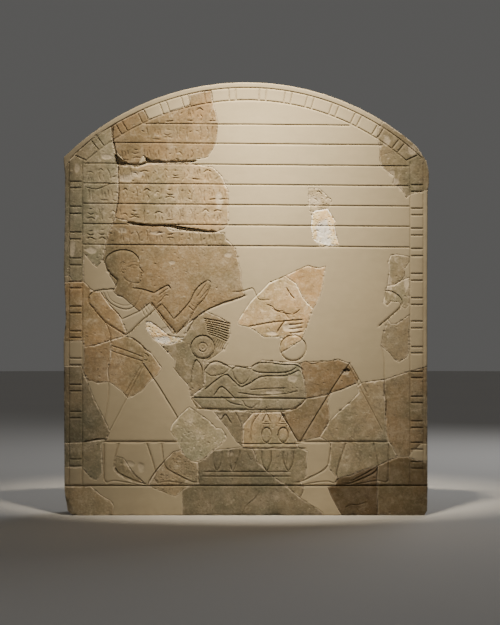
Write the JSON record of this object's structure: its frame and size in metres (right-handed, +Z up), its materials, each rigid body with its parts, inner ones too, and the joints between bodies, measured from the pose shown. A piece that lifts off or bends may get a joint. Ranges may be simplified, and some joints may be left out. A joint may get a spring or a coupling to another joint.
{
  "type": "stele",
  "caption": "Round-topped limestone stele, broken and restored in plaster, carved with ruled rows, a table of offerings and two worshippers.",
  "frame": {"origin": "middle of the underside's box, on the floor the stele stands on", "axes": "+Z up along the height, carved front facing -Y, +Y through the thickness"},
  "size_m": [0.882, 0.125, 1.0457],
  "materials": {
    "warm_limestone": "dry, worn limestone",
    "brown_limestone": "dry, worn limestone",
    "dark_limestone": "dry, worn limestone",
    "grey_limestone": "dry, worn limestone",
    "pale_limestone": "dry, worn limestone",
    "plaster": "matt plaster"
  },
  "bodies": {
    "root": {"base_right_stone": "brown_limestone", "bouquet_stone": "warm_limestone", "front_foot_stone": "warm_limestone", "grey_stone": "grey_limestone", "head_stone": "warm_limestone", "left_background_stone": "brown_limestone", "left_edge_stone": "dark_limestone", "left_foot_stone": "warm_limestone", "left_heel_stone": "dark_limestone", "left_kilt_back_stone": "brown_limestone", "left_kilt_stone": "brown_limestone", "lower_left_corner_stone": "warm_limestone", "lower_right_corner_stone": "dark_limestone", "middle_inscription_stone": "warm_limestone", "offering_stone": "warm_limestone", "pitted_stone": "pale_limestone", "plaster_slab": "plaster", "pots_stone": "warm_limestone", "right_arm_stone": "grey_limestone", "right_edge_stone": "dark_limestone", "right_elbow_stone": "grey_limestone", "right_kilt_front_stone": "warm_limestone", "right_kilt_stone": "brown_limestone", "right_leg_stone": "warm_limestone", "right_shoulder_stone": "warm_limestone", "right_sleeve_stone": "grey_limestone", "shelf_jars_stone": "warm_limestone", "small_lower_stone": "pale_limestone", "small_upper_stone": "pale_limestone", "stand_jar_stone": "grey_limestone", "table_foot_stone": "grey_limestone", "table_stone": "warm_limestone", "upper_inscription_stone": "warm_limestone", "upper_left_corner_stone": "warm_limestone", "upper_offering_stone": "warm_limestone"}
  },
  "joints": []
}
